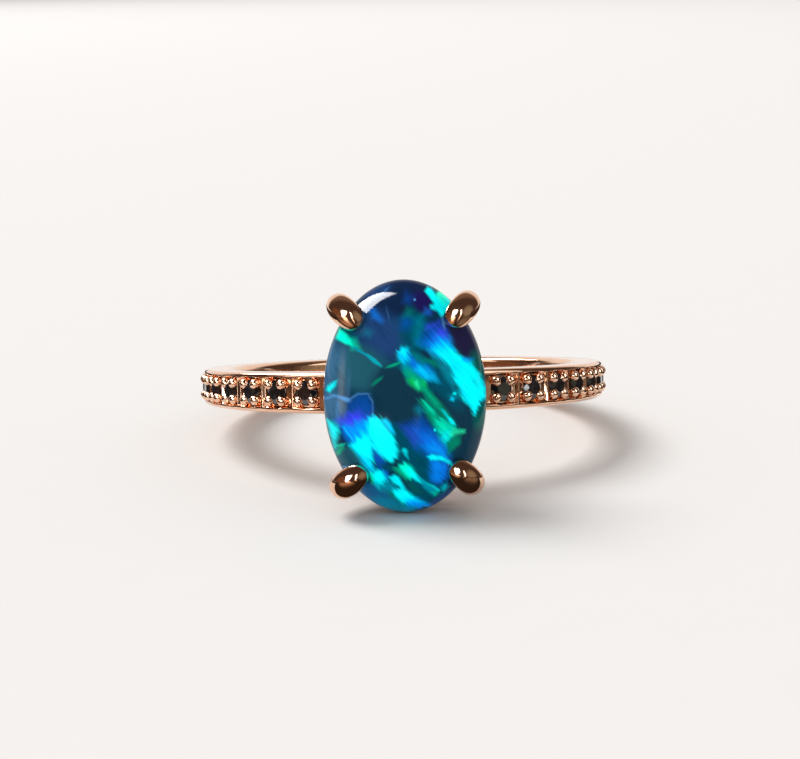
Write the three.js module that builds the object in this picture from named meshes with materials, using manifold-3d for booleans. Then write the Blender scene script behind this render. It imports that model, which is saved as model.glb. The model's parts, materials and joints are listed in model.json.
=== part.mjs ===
// An opal ring: an oval black opal cabochon in a four-claw head on a rose gold band,
// with a row of black diamonds bead-set along each shoulder. Sizes are in millimetres, +Z is up.
// The ring is modelled with the finger along Z and the opal facing -Y. It is then tipped to lie
// on its side, as it rests by itself: on the lower tip of the opal and the back of the band.

import * as THREE from "three";
import { ConvexGeometry } from "three/addons/geometries/ConvexGeometry.js";
import { mergeVertices } from "three/addons/utils/BufferGeometryUtils.js";
import Module from "manifold-3d";

const wasm = await Module();
wasm.setup();

// Band: a rounded rectangle swept round the finger, widest under the opal
const innerRadius = 8.45;
const bandWall = 1.5;
const bandFrontWidth = 1.9;
const bandBackWidth = 1.72;
const innerRound = 0.3;
const outerRound = 0.16;
const bandSteps = 72;
const cornerSteps = 2;

// Opal: an oval cabochon, measured from the plane of its girdle
const opalLength = 10;
const opalWidth = 7;
const opalDome = 2.2;
const opalBase = 0.8;
const girdleHalf = 0.08;
const baseShare = 0.84;
const domeFullness = 1.16;
const domeRows = 9;
const opalSides = 48;

// Head: a base rail on the band, a gallery rail under the opal, and four claws through both
const girdleAboveBand = 2.6;
const railRadius = 0.38;
const railSides = 8;
const railSteps = 32;
// One row for each rail, base and gallery: its share of the opal's outline, and its height from the girdle
const rails = [
  { share: 0.489, rise: -2.45 },
  { share: 0.806, rise: -1.28 },
];
const clawOnOpal = { across: 2.45, up: 3.57 };
const clawSides = 10;
const clawSpans = 10;
const tipAngles = [32, 62];
// One row for each station of a claw, from foot to tip. out and rise place its centre, out from the
// girdle and above it, and across and along are the half-widths of its section.
const clawStations = [
  { out: -2.15, rise: -2.45, across: 0.4, along: 0.4 },
  { out: -1.4, rise: -1.8, across: 0.42, along: 0.42 },
  { out: -0.55, rise: -1.05, across: 0.45, along: 0.44 },
  { out: 0.05, rise: -0.35, across: 0.5, along: 0.46 },
  { out: 0.3, rise: 0.25, across: 0.57, along: 0.5 },
  { out: 0.28, rise: 0.75, across: 0.63, along: 0.54 },
  { out: 0.02, rise: 1.12, across: 0.66, along: 0.55 },
  { out: -0.33, rise: 1.27, across: 0.61, along: 0.5 },
];

// Black diamonds: round brilliants in square cells, each under four beads
const diamondsPerSide = 7;
const firstDiamondAngle = 26.8;
const diamondPitch = 9.7;
const diamondRadius = 0.575;
const diamondSink = 0.11;
const diamondGirdle = 0.03;
const tableShare = 0.56;
const starShare = 0.78;
const pavilionShare = 0.23;
const crownAngle = THREE.MathUtils.degToRad(34);
const pavilionAngle = THREE.MathUtils.degToRad(40.8);
const girdleSides = 16;
const cellDepth = 0.11;
const cellSlope = 0.9;
const cellRim = 0.21;
const cellRidge = 0.2;
const beadRadius = 0.2;
const beadOffset = 0.41;
const beadSink = 0.12;
const beadRoot = 0.03;
const beadSides = 10;
const beadShoulder = 50;

// Clearances between a stone and the metal that holds it
const opalGap = 0.04;
const diamondGap = 0.03;

const outerRadius = innerRadius + bandWall;
const girdleRadius = outerRadius + girdleAboveBand;
const radians = THREE.MathUtils.degToRad;
const crownSlope = Math.tan(crownAngle);
const pavilionSlope = Math.tan(pavilionAngle);
const seatReach = diamondRadius + diamondGap;

const roseGold = { color: 0xd19a7c, roughness: 0.18, metalness: 1 };
const blackOpal = { color: 0x14586f, roughness: 0.12, metalness: 0 };
const blackDiamond = { color: 0x111216, roughness: 0.1, metalness: 0 };

// Solids from meshes and back

function solidOf(geometry) {
  const bare = geometry.clone();
  bare.deleteAttribute("normal");
  bare.deleteAttribute("uv");
  const merged = mergeVertices(bare);
  const corners = Array.from(merged.index.array);
  const triangles = [];
  for (let i = 0; i < corners.length; i += 3) {
    const [a, b, c] = corners.slice(i, i + 3);
    if (a !== b && b !== c && c !== a) triangles.push(a, b, c);
  }
  const vertProperties = new Float32Array(merged.attributes.position.array);
  const triVerts = new Uint32Array(triangles);
  return new wasm.Manifold(new wasm.Mesh({ numProp: 3, vertProperties, triVerts }));
}

function geometryOf(solid) {
  const mesh = solid.getMesh();
  const geometry = new THREE.BufferGeometry();
  geometry.setAttribute("position", new THREE.BufferAttribute(mesh.vertProperties, 3));
  geometry.setIndex(new THREE.BufferAttribute(mesh.triVerts, 1));
  const faceted = geometry.toNonIndexed();
  faceted.computeVertexNormals();
  return faceted;
}

function joined(solids) {
  return solids.reduce((whole, solid) => whole.add(solid));
}

// A skin through rings of points that turn anticlockwise about the way they follow each other.
// It closes on itself, or ends in a flat cap at each end.
function loft(rings, closed) {
  const count = rings[0].length;
  const spans = closed ? rings.length : rings.length - 1;
  const index = [];
  for (let ring = 0; ring < spans; ring++) {
    const here = ring * count;
    const next = ((ring + 1) % rings.length) * count;
    for (let k = 0; k < count; k++) {
      const beside = (k + 1) % count;
      index.push(here + k, here + beside, next + beside);
      index.push(here + k, next + beside, next + k);
    }
  }
  const last = (rings.length - 1) * count;
  for (let k = 1; k < count - 1 && !closed; k++) {
    index.push(0, k + 1, k);
    index.push(last, last + k, last + k + 1);
  }
  const geometry = new THREE.BufferGeometry().setFromPoints(rings.flat());
  geometry.setIndex(index);
  return geometry;
}

function ellipseRing(centre, first, second, sides) {
  return Array.from({ length: sides }, (_, k) => {
    const turn = (2 * Math.PI * k) / sides;
    return centre.clone().addScaledVector(first, Math.cos(turn)).addScaledVector(second, Math.sin(turn));
  });
}

// The frame of a stone on the band: x along the band, y along the finger and z outwards
function stoneFrame(angle, radius) {
  const frame = new THREE.Matrix4().makeRotationZ(angle);
  frame.multiply(new THREE.Matrix4().makeTranslation(0, -radius, 0));
  return frame.multiply(new THREE.Matrix4().makeRotationX(Math.PI / 2));
}

// Band

function bandWidth(angle) {
  const front = Math.max(0, Math.cos(angle));
  return bandBackWidth + (bandFrontWidth - bandBackWidth) * front * front;
}

function bandSection(angle) {
  const inner = bandWidth(angle) / 2 - innerRound;
  const outer = bandWidth(angle) / 2 - outerRound;
  const arcs = [
    { across: inner, out: innerRadius + innerRound, round: innerRound, start: -90 },
    { across: outer, out: outerRadius - outerRound, round: outerRound, start: 0 },
    { across: -outer, out: outerRadius - outerRound, round: outerRound, start: 90 },
    { across: -inner, out: innerRadius + innerRound, round: innerRound, start: 180 },
  ];
  return arcs.flatMap(({ across, out, round, start }) => {
    const arc = new THREE.EllipseCurve(across, out, round, round, radians(start), radians(start + 90));
    return arc.getPoints(cornerSteps);
  });
}

function bandSolid() {
  const rings = Array.from({ length: bandSteps }, (_, step) => {
    const angle = (2 * Math.PI * step) / bandSteps;
    return bandSection(angle).map(
      ({ x, y }) => new THREE.Vector3(y * Math.sin(angle), -y * Math.cos(angle), x),
    );
  });
  return solidOf(loft(rings, true));
}

// Black diamonds and their settings

function brilliant() {
  const radius = diamondRadius;
  const points = [];
  const addRing = (sides, shift, share, height) => {
    for (let k = 0; k < sides; k++) {
      const turn = (2 * Math.PI * (k + shift)) / sides;
      const reach = share * radius;
      points.push(new THREE.Vector3(reach * Math.cos(turn), reach * Math.sin(turn), height));
    }
  };
  const mainSides = girdleSides / 2;
  const halfTurn = Math.cos(Math.PI / mainSides);
  const crown = crownSlope * radius;
  const pavilion = pavilionSlope * radius;
  addRing(mainSides, 0, tableShare, (1 - tableShare) * crown);
  addRing(mainSides, 0.5, starShare, (1 - starShare * halfTurn) * crown);
  addRing(girdleSides, 0, 1, 0);
  addRing(girdleSides, 0, 1, -diamondGirdle);
  addRing(mainSides, 0.5, pavilionShare, -diamondGirdle - (1 - pavilionShare * halfTurn) * pavilion);
  points.push(new THREE.Vector3(0, 0, -diamondGirdle - pavilion));
  return new ConvexGeometry(points).translate(0, 0, -diamondSink);
}

// A turned shape with its axis along z
function turned(profile, sides, shift) {
  return new THREE.LatheGeometry(profile, sides).rotateX(Math.PI / 2).rotateZ(shift);
}

// A seat follows the pavilion and the girdle, and is open above
function diamondSeat() {
  const culet = -diamondSink - diamondGirdle - pavilionSlope * diamondRadius;
  const apex = culet - diamondGap / Math.cos(pavilionAngle);
  const profile = [
    new THREE.Vector2(0, apex),
    new THREE.Vector2(seatReach, apex + seatReach * pavilionSlope),
    new THREE.Vector2(seatReach, bandWall),
    new THREE.Vector2(0, bandWall),
  ];
  return turned(profile, girdleSides, 0);
}

// What a bead keeps clear of: the girdle and the crown, as eight flat sides
function beadClearance() {
  const sides = girdleSides / 2;
  const outside = 1 / Math.cos(Math.PI / sides);
  const table = tableShare * diamondRadius;
  const lift = diamondGap / Math.cos(crownAngle) - diamondSink;
  const crownAt = (reach) => (diamondRadius - reach) * crownSlope + lift;
  const profile = [
    new THREE.Vector2(0, -2 * beadSink),
    new THREE.Vector2(seatReach * outside, -2 * beadSink),
    new THREE.Vector2(seatReach * outside, crownAt(seatReach)),
    new THREE.Vector2(table * outside, crownAt(table)),
    new THREE.Vector2(0, crownAt(table)),
  ];
  return turned(profile, sides, Math.PI / sides);
}

// A cell is a square cut with sloping sides, which leaves a rim at each edge and a ridge to the next cell
function diamondCell(angle) {
  const across = bandWidth(angle) / 2 - cellRim;
  const along = (outerRadius * radians(diamondPitch) - cellRidge) / 2;
  const height = 2 * cellDepth;
  const spread = cellSlope * cellDepth;
  const rings = [-1, 1].map((level) => {
    const halfAlong = along + level * spread;
    const halfAcross = across + level * spread;
    const corners = [[1, 1], [-1, 1], [-1, -1], [1, -1]];
    return corners.map(([x, y]) => new THREE.Vector3(x * halfAlong, y * halfAcross, (level * height) / 2));
  });
  return loft(rings, false);
}

// A bead is a domed grain raised at each corner of a cell
function beadGeometries() {
  const shoulder = radians(beadShoulder);
  const profile = [
    new THREE.Vector2(0, -beadRoot),
    new THREE.Vector2(beadRadius, 0),
    new THREE.Vector2(beadRadius * Math.cos(shoulder), beadRadius * Math.sin(shoulder)),
    new THREE.Vector2(0, beadRadius),
  ];
  const corners = [[1, 1], [-1, 1], [-1, -1], [1, -1]];
  return corners.map(([x, y]) =>
    turned(profile, beadSides, 0).translate(x * beadOffset, y * beadOffset, -beadSink),
  );
}

const diamondPlaces = [];
for (const [side, sign] of [["left", -1], ["right", 1]]) {
  for (let number = 1; number <= diamondsPerSide; number++) {
    const angle = sign * radians(firstDiamondAngle + diamondPitch * (number - 1));
    diamondPlaces.push({ name: `black_diamond_${side}_${number}`, angle });
  }
}

// Opal

function cabochon(gap) {
  const profile = [
    new THREE.Vector2(0, -opalBase - gap),
    new THREE.Vector2(baseShare, -opalBase - gap),
    new THREE.Vector2(1, -girdleHalf - gap),
  ];
  for (let row = 0; row <= domeRows; row++) {
    const lift = (Math.PI / 2) * (row / domeRows);
    const height = girdleHalf + gap + (opalDome - girdleHalf) * Math.pow(Math.sin(lift), domeFullness);
    profile.push(new THREE.Vector2(row === domeRows ? 0 : Math.cos(lift), height));
  }
  return turned(profile, opalSides, 0).scale(opalWidth / 2 + gap, opalLength / 2 + gap, 1);
}

// Head

function railSolid({ share, rise }) {
  const wide = (share * opalWidth) / 2;
  const long = (share * opalLength) / 2;
  const up = new THREE.Vector3(0, 0, railRadius);
  const rings = Array.from({ length: railSteps }, (_, step) => {
    const turn = (2 * Math.PI * step) / railSteps;
    const centre = new THREE.Vector3(wide * Math.cos(turn), long * Math.sin(turn), rise);
    const outwards = new THREE.Vector3(long * Math.cos(turn), wide * Math.sin(turn), 0);
    return ellipseRing(centre, up, outwards.setLength(railRadius), railSides);
  });
  return solidOf(loft(rings, true));
}

function clawSolid(signX, signY) {
  const girdlePoint = new THREE.Vector3(signX * clawOnOpal.across, signY * clawOnOpal.up, 0);
  const outwards = new THREE.Vector3(signX, signY, 0).normalize();
  const upwards = new THREE.Vector3(0, 0, 1);
  const sideways = new THREE.Vector3().crossVectors(upwards, outwards);
  const spine = new THREE.CatmullRomCurve3(clawStations.map((s) => new THREE.Vector3(s.out, s.rise, 0)));
  const girth = new THREE.CatmullRomCurve3(clawStations.map((s) => new THREE.Vector3(s.along, s.across, 0)));

  const section = (at, ahead, shrink) => {
    const place = spine.getPoint(at);
    const heading = spine.getTangent(at);
    const size = girth.getPoint(at).multiplyScalar(shrink);
    place.addScaledVector(heading, ahead);
    const centre = girdlePoint.clone().addScaledVector(outwards, place.x).addScaledVector(upwards, place.y);
    const along = outwards.clone().multiplyScalar(heading.y).addScaledVector(upwards, -heading.x);
    const across = sideways.clone().multiplyScalar(size.y);
    return ellipseRing(centre, along.multiplyScalar(size.x), across, clawSides);
  };

  const rings = Array.from({ length: clawSpans + 1 }, (_, step) => section(step / clawSpans, 0, 1));
  const tipReach = clawStations.at(-1).along;
  for (const angle of tipAngles.map(radians)) {
    rings.push(section(1, tipReach * Math.sin(angle), Math.cos(angle)));
  }
  return solidOf(loft(rings, false));
}

function headSolid() {
  const pieces = rails.map(railSolid);
  for (const signX of [-1, 1]) {
    for (const signY of [-1, 1]) pieces.push(clawSolid(signX, signY));
  }
  return joined(pieces).subtract(solidOf(cabochon(opalGap)));
}

// The metal: the band with its cells, seats and beads, and the head soldered on

function metalGeometry() {
  const headFrame = stoneFrame(0, girdleRadius);
  const cuts = [];
  const beads = [];
  const spaces = [];
  for (const { angle } of diamondPlaces) {
    const frame = stoneFrame(angle, outerRadius);
    cuts.push(solidOf(diamondCell(angle).applyMatrix4(frame)));
    cuts.push(solidOf(diamondSeat().applyMatrix4(frame)));
    spaces.push(solidOf(beadClearance().applyMatrix4(frame)));
    for (const bead of beadGeometries()) beads.push(solidOf(bead.applyMatrix4(frame)));
  }
  const head = solidOf(geometryOf(headSolid()).applyMatrix4(headFrame));
  const settings = joined(beads).subtract(joined(spaces));
  return geometryOf(bandSolid().subtract(joined(cuts)).add(settings).add(head));
}

// Assembly

function piece(name, geometry, finish) {
  const mesh = new THREE.Mesh(geometry, new THREE.MeshStandardMaterial(finish));
  mesh.name = name;
  return mesh;
}

const ring = new THREE.Group();
ring.add(piece("band_and_setting", metalGeometry(), roseGold));

const opal = piece("opal", geometryOf(solidOf(cabochon(0))), blackOpal);
opal.applyMatrix4(stoneFrame(0, girdleRadius));
ring.add(opal);

for (const { name, angle } of diamondPlaces) {
  const diamond = piece(name, brilliant(), blackDiamond);
  diamond.applyMatrix4(stoneFrame(angle, outerRadius));
  ring.add(diamond);
}

// Rest: the floor touches the opal's lower tip and the rounded lower edge at the back of the band
const tip = new THREE.Vector2(-girdleRadius + girdleHalf, -opalLength / 2);
const edge = new THREE.Vector2(outerRadius - outerRound, outerRound - bandBackWidth / 2);
const reach = edge.clone().sub(tip);
ring.rotation.x = Math.asin(outerRound / reach.length()) - reach.angle();

const part = new THREE.Group();
part.add(ring);
const box = new THREE.Box3().setFromObject(part, true);
const middle = box.getCenter(new THREE.Vector3());
ring.position.set(-middle.x, -middle.y, -box.min.z);

export default part;
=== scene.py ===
import json
import math

import bmesh
import bpy
from mathutils import Matrix, Quaternion, Vector


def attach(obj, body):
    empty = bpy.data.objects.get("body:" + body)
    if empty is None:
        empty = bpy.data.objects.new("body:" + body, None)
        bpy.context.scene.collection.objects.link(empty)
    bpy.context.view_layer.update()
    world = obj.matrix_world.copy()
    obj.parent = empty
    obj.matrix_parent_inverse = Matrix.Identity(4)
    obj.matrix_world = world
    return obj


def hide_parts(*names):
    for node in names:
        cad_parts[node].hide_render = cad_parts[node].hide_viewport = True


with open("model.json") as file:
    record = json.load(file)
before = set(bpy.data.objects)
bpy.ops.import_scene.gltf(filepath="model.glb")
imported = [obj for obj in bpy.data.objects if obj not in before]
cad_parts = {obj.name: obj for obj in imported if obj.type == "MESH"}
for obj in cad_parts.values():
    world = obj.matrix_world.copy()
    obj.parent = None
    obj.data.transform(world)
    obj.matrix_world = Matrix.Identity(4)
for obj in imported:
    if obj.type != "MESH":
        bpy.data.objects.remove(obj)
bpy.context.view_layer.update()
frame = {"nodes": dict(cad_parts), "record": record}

print("frame loaded:", len(frame["nodes"]), "nodes")

# where the ring lies: the finger axis leans because the opal's tip and the back of the band touch the floor
fingerAxis = Vector(frame["record"]["mounts"][0]["axis"]).normalized()
holeLow, holeHigh = frame["record"]["physics"]["openings"][0]["box_m"]
ringCentre = (Vector(holeLow) + Vector(holeHigh)) / 2
lean = math.atan2(fingerAxis.y, fingerAxis.z)
mm = 0.001
rad = math.radians
ringPlace = Matrix.Translation(ringCentre) @ Matrix.Rotation(-lean, 4, "X") @ Matrix.Scale(mm, 4)

ring = {                             # millimetres and degrees, as for each piece
    "innerRadius": 8.45, "wall": 1.5, "frontWidth": 1.9, "backWidth": 1.72,
    "headRise": 2.6,                 # from the band's outside to the opal's girdle
    "stonesPerSide": 7, "firstStone": 26.8, "pitch": 9.7,
}
outerRadius = ring["innerRadius"] + ring["wall"]
girdleRadius = outerRadius + ring["headRise"]
headPlace = Matrix.Translation((0, -girdleRadius, 0)) @ Matrix.Rotation(rad(90), 4, "X")
stoneAngles = [side * (ring["firstStone"] + ring["pitch"] * number)
               for side in (-1, 1) for number in range(ring["stonesPerSide"])]
smallStones = tuple(node for name, node in frame["nodes"].items() if name.startswith("black_diamond"))
origin = (0, 0, 0)
tiny = 0.001                         # closer than this is the same place


def fresh():                         # object mode with nothing selected
    if bpy.context.object and bpy.context.object.mode != "OBJECT":
        bpy.ops.object.mode_set(mode="OBJECT")
    bpy.ops.object.select_all(action="DESELECT")


def edit():
    bpy.ops.object.mode_set(mode="EDIT")
    bpy.ops.mesh.select_all(action="SELECT")


def leave():
    bpy.ops.object.mode_set(mode="OBJECT")


def choose(kind, test):              # selects by place or normal, in edit mode
    bpy.ops.mesh.select_mode(type=kind)
    bpy.ops.mesh.select_all(action="DESELECT")
    data = bpy.context.edit_object.data
    mesh = bmesh.from_edit_mesh(data)
    parts = {"VERT": mesh.verts, "EDGE": mesh.edges, "FACE": mesh.faces}[kind]
    for part in parts:
        if test(part):
            part.select_set(True)
    mesh.select_flush_mode()
    bmesh.update_edit_mesh(data)


def stretch(x, y, z, centre=origin):     # what is selected
    bpy.ops.transform.resize(value=(x, y, z), center_override=centre)


def settle():                        # place, turn and scale go into the shape
    bpy.ops.object.transform_apply(location=True, rotation=True, scale=True)


def tidyMesh(gap=tiny):              # joins doubles, faces outwards
    edit()
    bpy.ops.mesh.remove_doubles(threshold=gap)
    bpy.ops.mesh.normals_make_consistent(inside=False)
    leave()


def modify(piece, kind, **settings):
    added = piece.modifiers.new(kind.title(), kind)
    for name, value in settings.items():
        setattr(added, name, value)
    bpy.context.view_layer.objects.active = piece
    bpy.ops.object.modifier_apply(modifier=added.name)


def copyOf(master, place):           # a copy with its own mesh, set in place
    made = master.copy()
    made.data = master.data.copy()
    made.data.transform(place)
    bpy.context.collection.objects.link(made)
    return made


def joined(pieces, name):
    fresh()
    for piece in pieces:
        piece.select_set(True)
    bpy.context.view_layer.objects.active = pieces[0]
    bpy.ops.object.join()
    pieces[0].name = name
    pieces[0].data.name = name
    return pieces[0]


def setDown(piece, place, node, smooth):       # into the row frame, shaded, tied to its node
    fresh()
    piece.select_set(True)
    bpy.context.view_layer.objects.active = piece
    piece.matrix_world = place
    settle()
    bpy.ops.object.shade_smooth_by_angle(angle=rad(smooth))
    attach(piece, "root")
    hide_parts(node)
    print("made", piece.name, len(piece.data.polygons), "faces")


# the band: a rounded section spun round the finger axis in four arcs, cells inset into both shoulders
band = {
    "innerRound": 0.3, "outerRound": 0.2, "roundSteps": 5,
    "stepsPerCell": 6, "gapSteps": 26, "backSteps": 104,
    "taperEnd": 89, "rowGap": 0.5,   # rows of points lie further apart than this
    "rim": 0.05, "slope": 0.07, "depth": 0.15,
    "skin": 0.04, "midway": 0.1, "tilt": 0.1,        # how faces on the flat outside are told apart
    "notchOut": 0.045, "notchDown": 0.07, "notchSteps": (0.3, 1.3), "lip": 0.08,
    "edge": 0.026, "edgeSteps": 2, "sharp": 35, "shortest": 0.0001, "smooth": 40,
}
cellsStart = ring["firstStone"] - ring["pitch"] / 2
cellsEnd = cellsStart + ring["pitch"] * ring["stonesPerSide"]


def angleOf(point):                  # 0 at the opal, positive to the right
    return math.degrees(math.atan2(point.x, -point.y))


def makeBand():
    fresh()
    bpy.ops.mesh.primitive_plane_add(size=1)
    piece = bpy.context.object
    middle = ring["innerRadius"] + ring["wall"] / 2
    start = rad(-cellsEnd)
    piece.scale = (ring["frontWidth"], ring["wall"], 1)
    piece.rotation_euler = (0, rad(90), start)
    piece.location = (math.sin(start) * middle, -math.cos(start) * middle, 0)
    settle()
    edit()
    choose("VERT", lambda v: v.co.xy.length < middle)
    bpy.ops.mesh.bevel(offset=band["innerRound"], segments=band["roundSteps"], affect="VERTICES")
    choose("VERT", lambda v: v.co.xy.length > outerRadius - band["skin"])
    bpy.ops.mesh.bevel(offset=band["outerRound"], segments=band["roundSteps"], affect="VERTICES")
    bpy.ops.mesh.select_all(action="SELECT")
    bpy.ops.mesh.delete(type="ONLY_FACE")
    bpy.ops.mesh.select_mode(type="EDGE")
    bpy.ops.mesh.select_all(action="SELECT")
    shoulder = (cellsEnd - cellsStart, band["stepsPerCell"] * ring["stonesPerSide"])
    front = (2 * cellsStart, band["gapSteps"])
    back = (360 - 2 * cellsEnd, band["backSteps"])
    for turn, steps in (shoulder, front, shoulder, back):
        bpy.ops.mesh.spin(steps=steps, angle=rad(turn), center=origin, axis=(0, 0, 1))
    tidyMesh()
    edit()
    taperBand()
    for angle in stoneAngles:
        sinkCell(angle)
    leave()
    modify(piece, "BEVEL", limit_method="ANGLE", angle_limit=rad(band["sharp"]),
           width=band["edge"], segments=band["edgeSteps"])
    edit()
    bpy.ops.mesh.dissolve_degenerate(threshold=band["shortest"])     # edges that the bevel left without length
    leave()
    piece.name = "shank"
    setDown(piece, ringPlace, "band_and_setting", band["smooth"])
    return piece


def bandWidth(angle):
    return ring["backWidth"] + (ring["frontWidth"] - ring["backWidth"]) * math.cos(rad(angle)) ** 2


def taperBand():                     # wide under the opal, slimmer to the sides and back
    mesh = bmesh.from_edit_mesh(bpy.context.edit_object.data)
    front = []
    for a in sorted(abs(angleOf(v.co)) for v in mesh.verts):
        if a < band["taperEnd"] and (not front or a - front[-1] > band["rowGap"]):
            front.append(a)          # one for each row of points across the band
    for a in front:
        choose("VERT", lambda v: abs(abs(angleOf(v.co)) - a) < band["rowGap"] / 2)
        stretch(1, 1, bandWidth(a) / ring["frontWidth"])
    choose("VERT", lambda v: abs(angleOf(v.co)) > band["taperEnd"])
    stretch(1, 1, ring["backWidth"] / ring["frontWidth"])


def sinkCell(angle):                 # one small stone's cell, with a rim all round
    half = ring["pitch"] / 2
    flat = outerRadius - band["skin"]

    def inCell(face):
        middle = face.calc_center_median()
        return (abs(angleOf(middle) - angle) < half and middle.xy.length > flat
                and abs(middle.z) < band["midway"] and abs(face.normal.z) < band["tilt"])

    choose("FACE", inCell)
    bpy.ops.mesh.inset(thickness=band["rim"], depth=0)
    bpy.ops.mesh.inset(thickness=band["slope"], depth=-band["depth"])
    share = bandWidth(angle) / ring["frontWidth"]
    lip = (ring["frontWidth"] / 2 - band["outerRound"]) * share - band["rim"]
    inward = Vector((-math.sin(rad(angle)), math.cos(rad(angle)), 0)) * band["notchDown"]
    for side in (-1, 1):             # a cut in the rim over and under the stone, deepest in the middle
        for steps in band["notchSteps"]:
            reach = steps * ring["pitch"] / band["stepsPerCell"]
            choose("VERT", lambda v: (
                abs(angleOf(v.co) - angle) < reach and v.co.xy.length > flat - band["lip"]
                and abs(v.co.z * side - lip) < band["notchOut"]))
            push = inward / 2 + Vector((0, 0, side * band["notchOut"] / 2))
            bpy.ops.transform.translate(value=push)


shank = makeBand()

# beads raised over each small stone: one egg-shaped grain, copied to four corners of every cell
bead = {
    "radius": 0.225, "stretch": 1.25, "sink": 0.05, "corner": 0.38, "turns": (45, 135, 225, 315),
    "blunt": (0.85, 1.12, 1), "root": 0.6, "past": 0.02,     # the outer and the lower half, past the middle
    "sides": 16, "rings": 10, "smooth": 60,
}


def makeBeads():
    fresh()
    bpy.ops.mesh.primitive_uv_sphere_add(
        segments=bead["sides"], ring_count=bead["rings"], radius=bead["radius"])
    master = bpy.context.object
    edit()
    stretch(bead["stretch"], 1, 1)
    choose("VERT", lambda v: v.co.x > bead["past"])  # fuller at the outer end
    stretch(*bead["blunt"])
    choose("VERT", lambda v: v.co.z < -bead["past"])
    stretch(1, 1, bead["root"])
    leave()
    far = bead["corner"] * math.sqrt(2)
    beads = []
    for angle in stoneAngles:
        cell = Matrix.Rotation(rad(angle), 4, "Z") @ Matrix.Translation((0, -outerRadius, 0))
        outward = cell @ Matrix.Rotation(rad(90), 4, "X")
        for turn in bead["turns"]:
            spot = Matrix.Rotation(rad(turn), 4, "Z") @ Matrix.Translation((far, 0, -bead["sink"]))
            beads.append(copyOf(master, outward @ spot))
    bpy.data.objects.remove(master)
    piece = joined(beads, "pave_beads")
    setDown(piece, ringPlace, "band_and_setting", bead["smooth"])
    return piece


paveBeads = makeBeads()

# the opal's measures, and its head: two wire rails and four claws with egg tips
opal = {
    "length": 10.0, "width": 7.0, "dome": 2.2, "base": 0.8, "lower": 1.474, "sides": 128, "rings": 64,
    "backRound": 0.1, "backSteps": 3, "weld": 0.0002, "smooth": 50,
}
head = {
    "wire": 0.38, "wireSides": 6, "wireSteps": 24,
    "baseShare": 0.489, "baseRise": -2.45, "galleryShare": 0.806, "galleryRise": -1.28,
    "clawSides": 16, "rounding": 2, "smooth": 60,
    # each row: out from the girdle, rise over it, half width across, half thickness
    "clawPath": (
        (-2.15, -2.45, 0.40, 0.40), (-1.40, -1.80, 0.42, 0.42), (-0.55, -1.05, 0.45, 0.44),
        (0.10, -0.35, 0.47, 0.46), (0.42, 0.22, 0.50, 0.50), (0.46, 0.75, 0.56, 0.50),
        (0.30, 1.17, 0.61, 0.48), (-0.05, 1.36, 0.62, 0.46), (-0.42, 1.31, 0.56, 0.43),
    ),
    "tip": (35, 65, 82),
    # each row: girdle point right, up, turn of the claw, length of it
    "claws": (
        (2.45, 3.63, 47, 1.06), (-2.41, 3.63, 137, 1.07),
        (-2.42, -3.48, 217, 1.09), (2.49, -3.40, -45, 1.07),
    ),
}


def rail(share, rise):
    fresh()
    bpy.ops.curve.primitive_bezier_circle_add(radius=1, location=(0, 0, rise))
    made = bpy.context.object
    made.scale = (opal["width"] / 2 * share, opal["length"] / 2 * share, 1)
    settle()
    for point in made.data.splines[0].bezier_points:
        point.radius = 1             # applying the scale thickens the wire
    made.data.bevel_depth = head["wire"]
    made.data.bevel_resolution = head["wireSides"]
    made.data.resolution_u = head["wireSteps"]
    bpy.ops.object.convert(target="MESH")
    tidyMesh()
    return bpy.context.object


def makeClaw():
    path = head["clawPath"]
    fresh()
    bpy.ops.mesh.primitive_circle_add(vertices=head["clawSides"], radius=1, fill_type="NGON")
    made = bpy.context.object
    out, rise, across, thick = path[0]
    heading = math.atan2(path[1][0] - out, path[1][1] - rise)        # from straight up, outwards
    made.scale = (thick, across, 1)
    made.rotation_euler = (0, heading, 0)
    made.location = (out, 0, rise)
    settle()
    edit()
    bpy.ops.mesh.select_mode(type="FACE")
    bpy.ops.mesh.select_all(action="SELECT")
    for number in range(1, len(path)):
        old, spot = path[number - 1], path[number]
        after = path[min(number + 1, len(path) - 1)]
        ahead = math.atan2(after[0] - old[0], after[1] - old[1])
        stepClaw((spot[0] - old[0], spot[1] - old[1]), spot, old, ahead - heading)
        heading = ahead
    out, rise, across, thick = path[-1]
    before = 0
    for angle in head["tip"]:        # rounds off the end
        step = thick * (math.sin(rad(angle)) - math.sin(rad(before)))
        far = thick * math.sin(rad(angle))
        share, shareBefore = math.cos(rad(angle)), math.cos(rad(before))
        spot = (out + math.sin(heading) * far, rise + math.cos(heading) * far, across * share, thick * share)
        old = (0, 0, across * shareBefore, thick * shareBefore)
        stepClaw((math.sin(heading) * step, math.cos(heading) * step), spot, old, 0)
        before = angle
    leave()
    modify(made, "SUBSURF", levels=head["rounding"], render_levels=head["rounding"])
    tidyMesh()
    return made


def stepClaw(step, spot, old, turn):
    bpy.ops.mesh.extrude_region_move(TRANSFORM_OT_translate={"value": (step[0], 0, step[1])})
    centre = (spot[0], 0, spot[1])
    stretch(spot[3] / old[3], spot[2] / old[2], spot[3] / old[3], centre)
    if turn:
        bpy.ops.transform.rotate(value=-turn, orient_axis="Y", center_override=centre)


def makeHead():
    parts = [rail(head["baseShare"], head["baseRise"]), rail(head["galleryShare"], head["galleryRise"])]
    master = makeClaw()
    for right, up, turn, length in head["claws"]:
        place = Matrix.Translation((right, up, 0)) @ Matrix.Rotation(rad(turn), 4, "Z")
        place = place @ Matrix.Diagonal((length, 1, 1, 1))
        parts.append(copyOf(master, place))
    bpy.data.objects.remove(master)
    piece = joined(parts, "claw_head")
    setDown(piece, ringPlace @ headPlace, "band_and_setting", head["smooth"])
    return piece


clawHead = makeHead()


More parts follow.
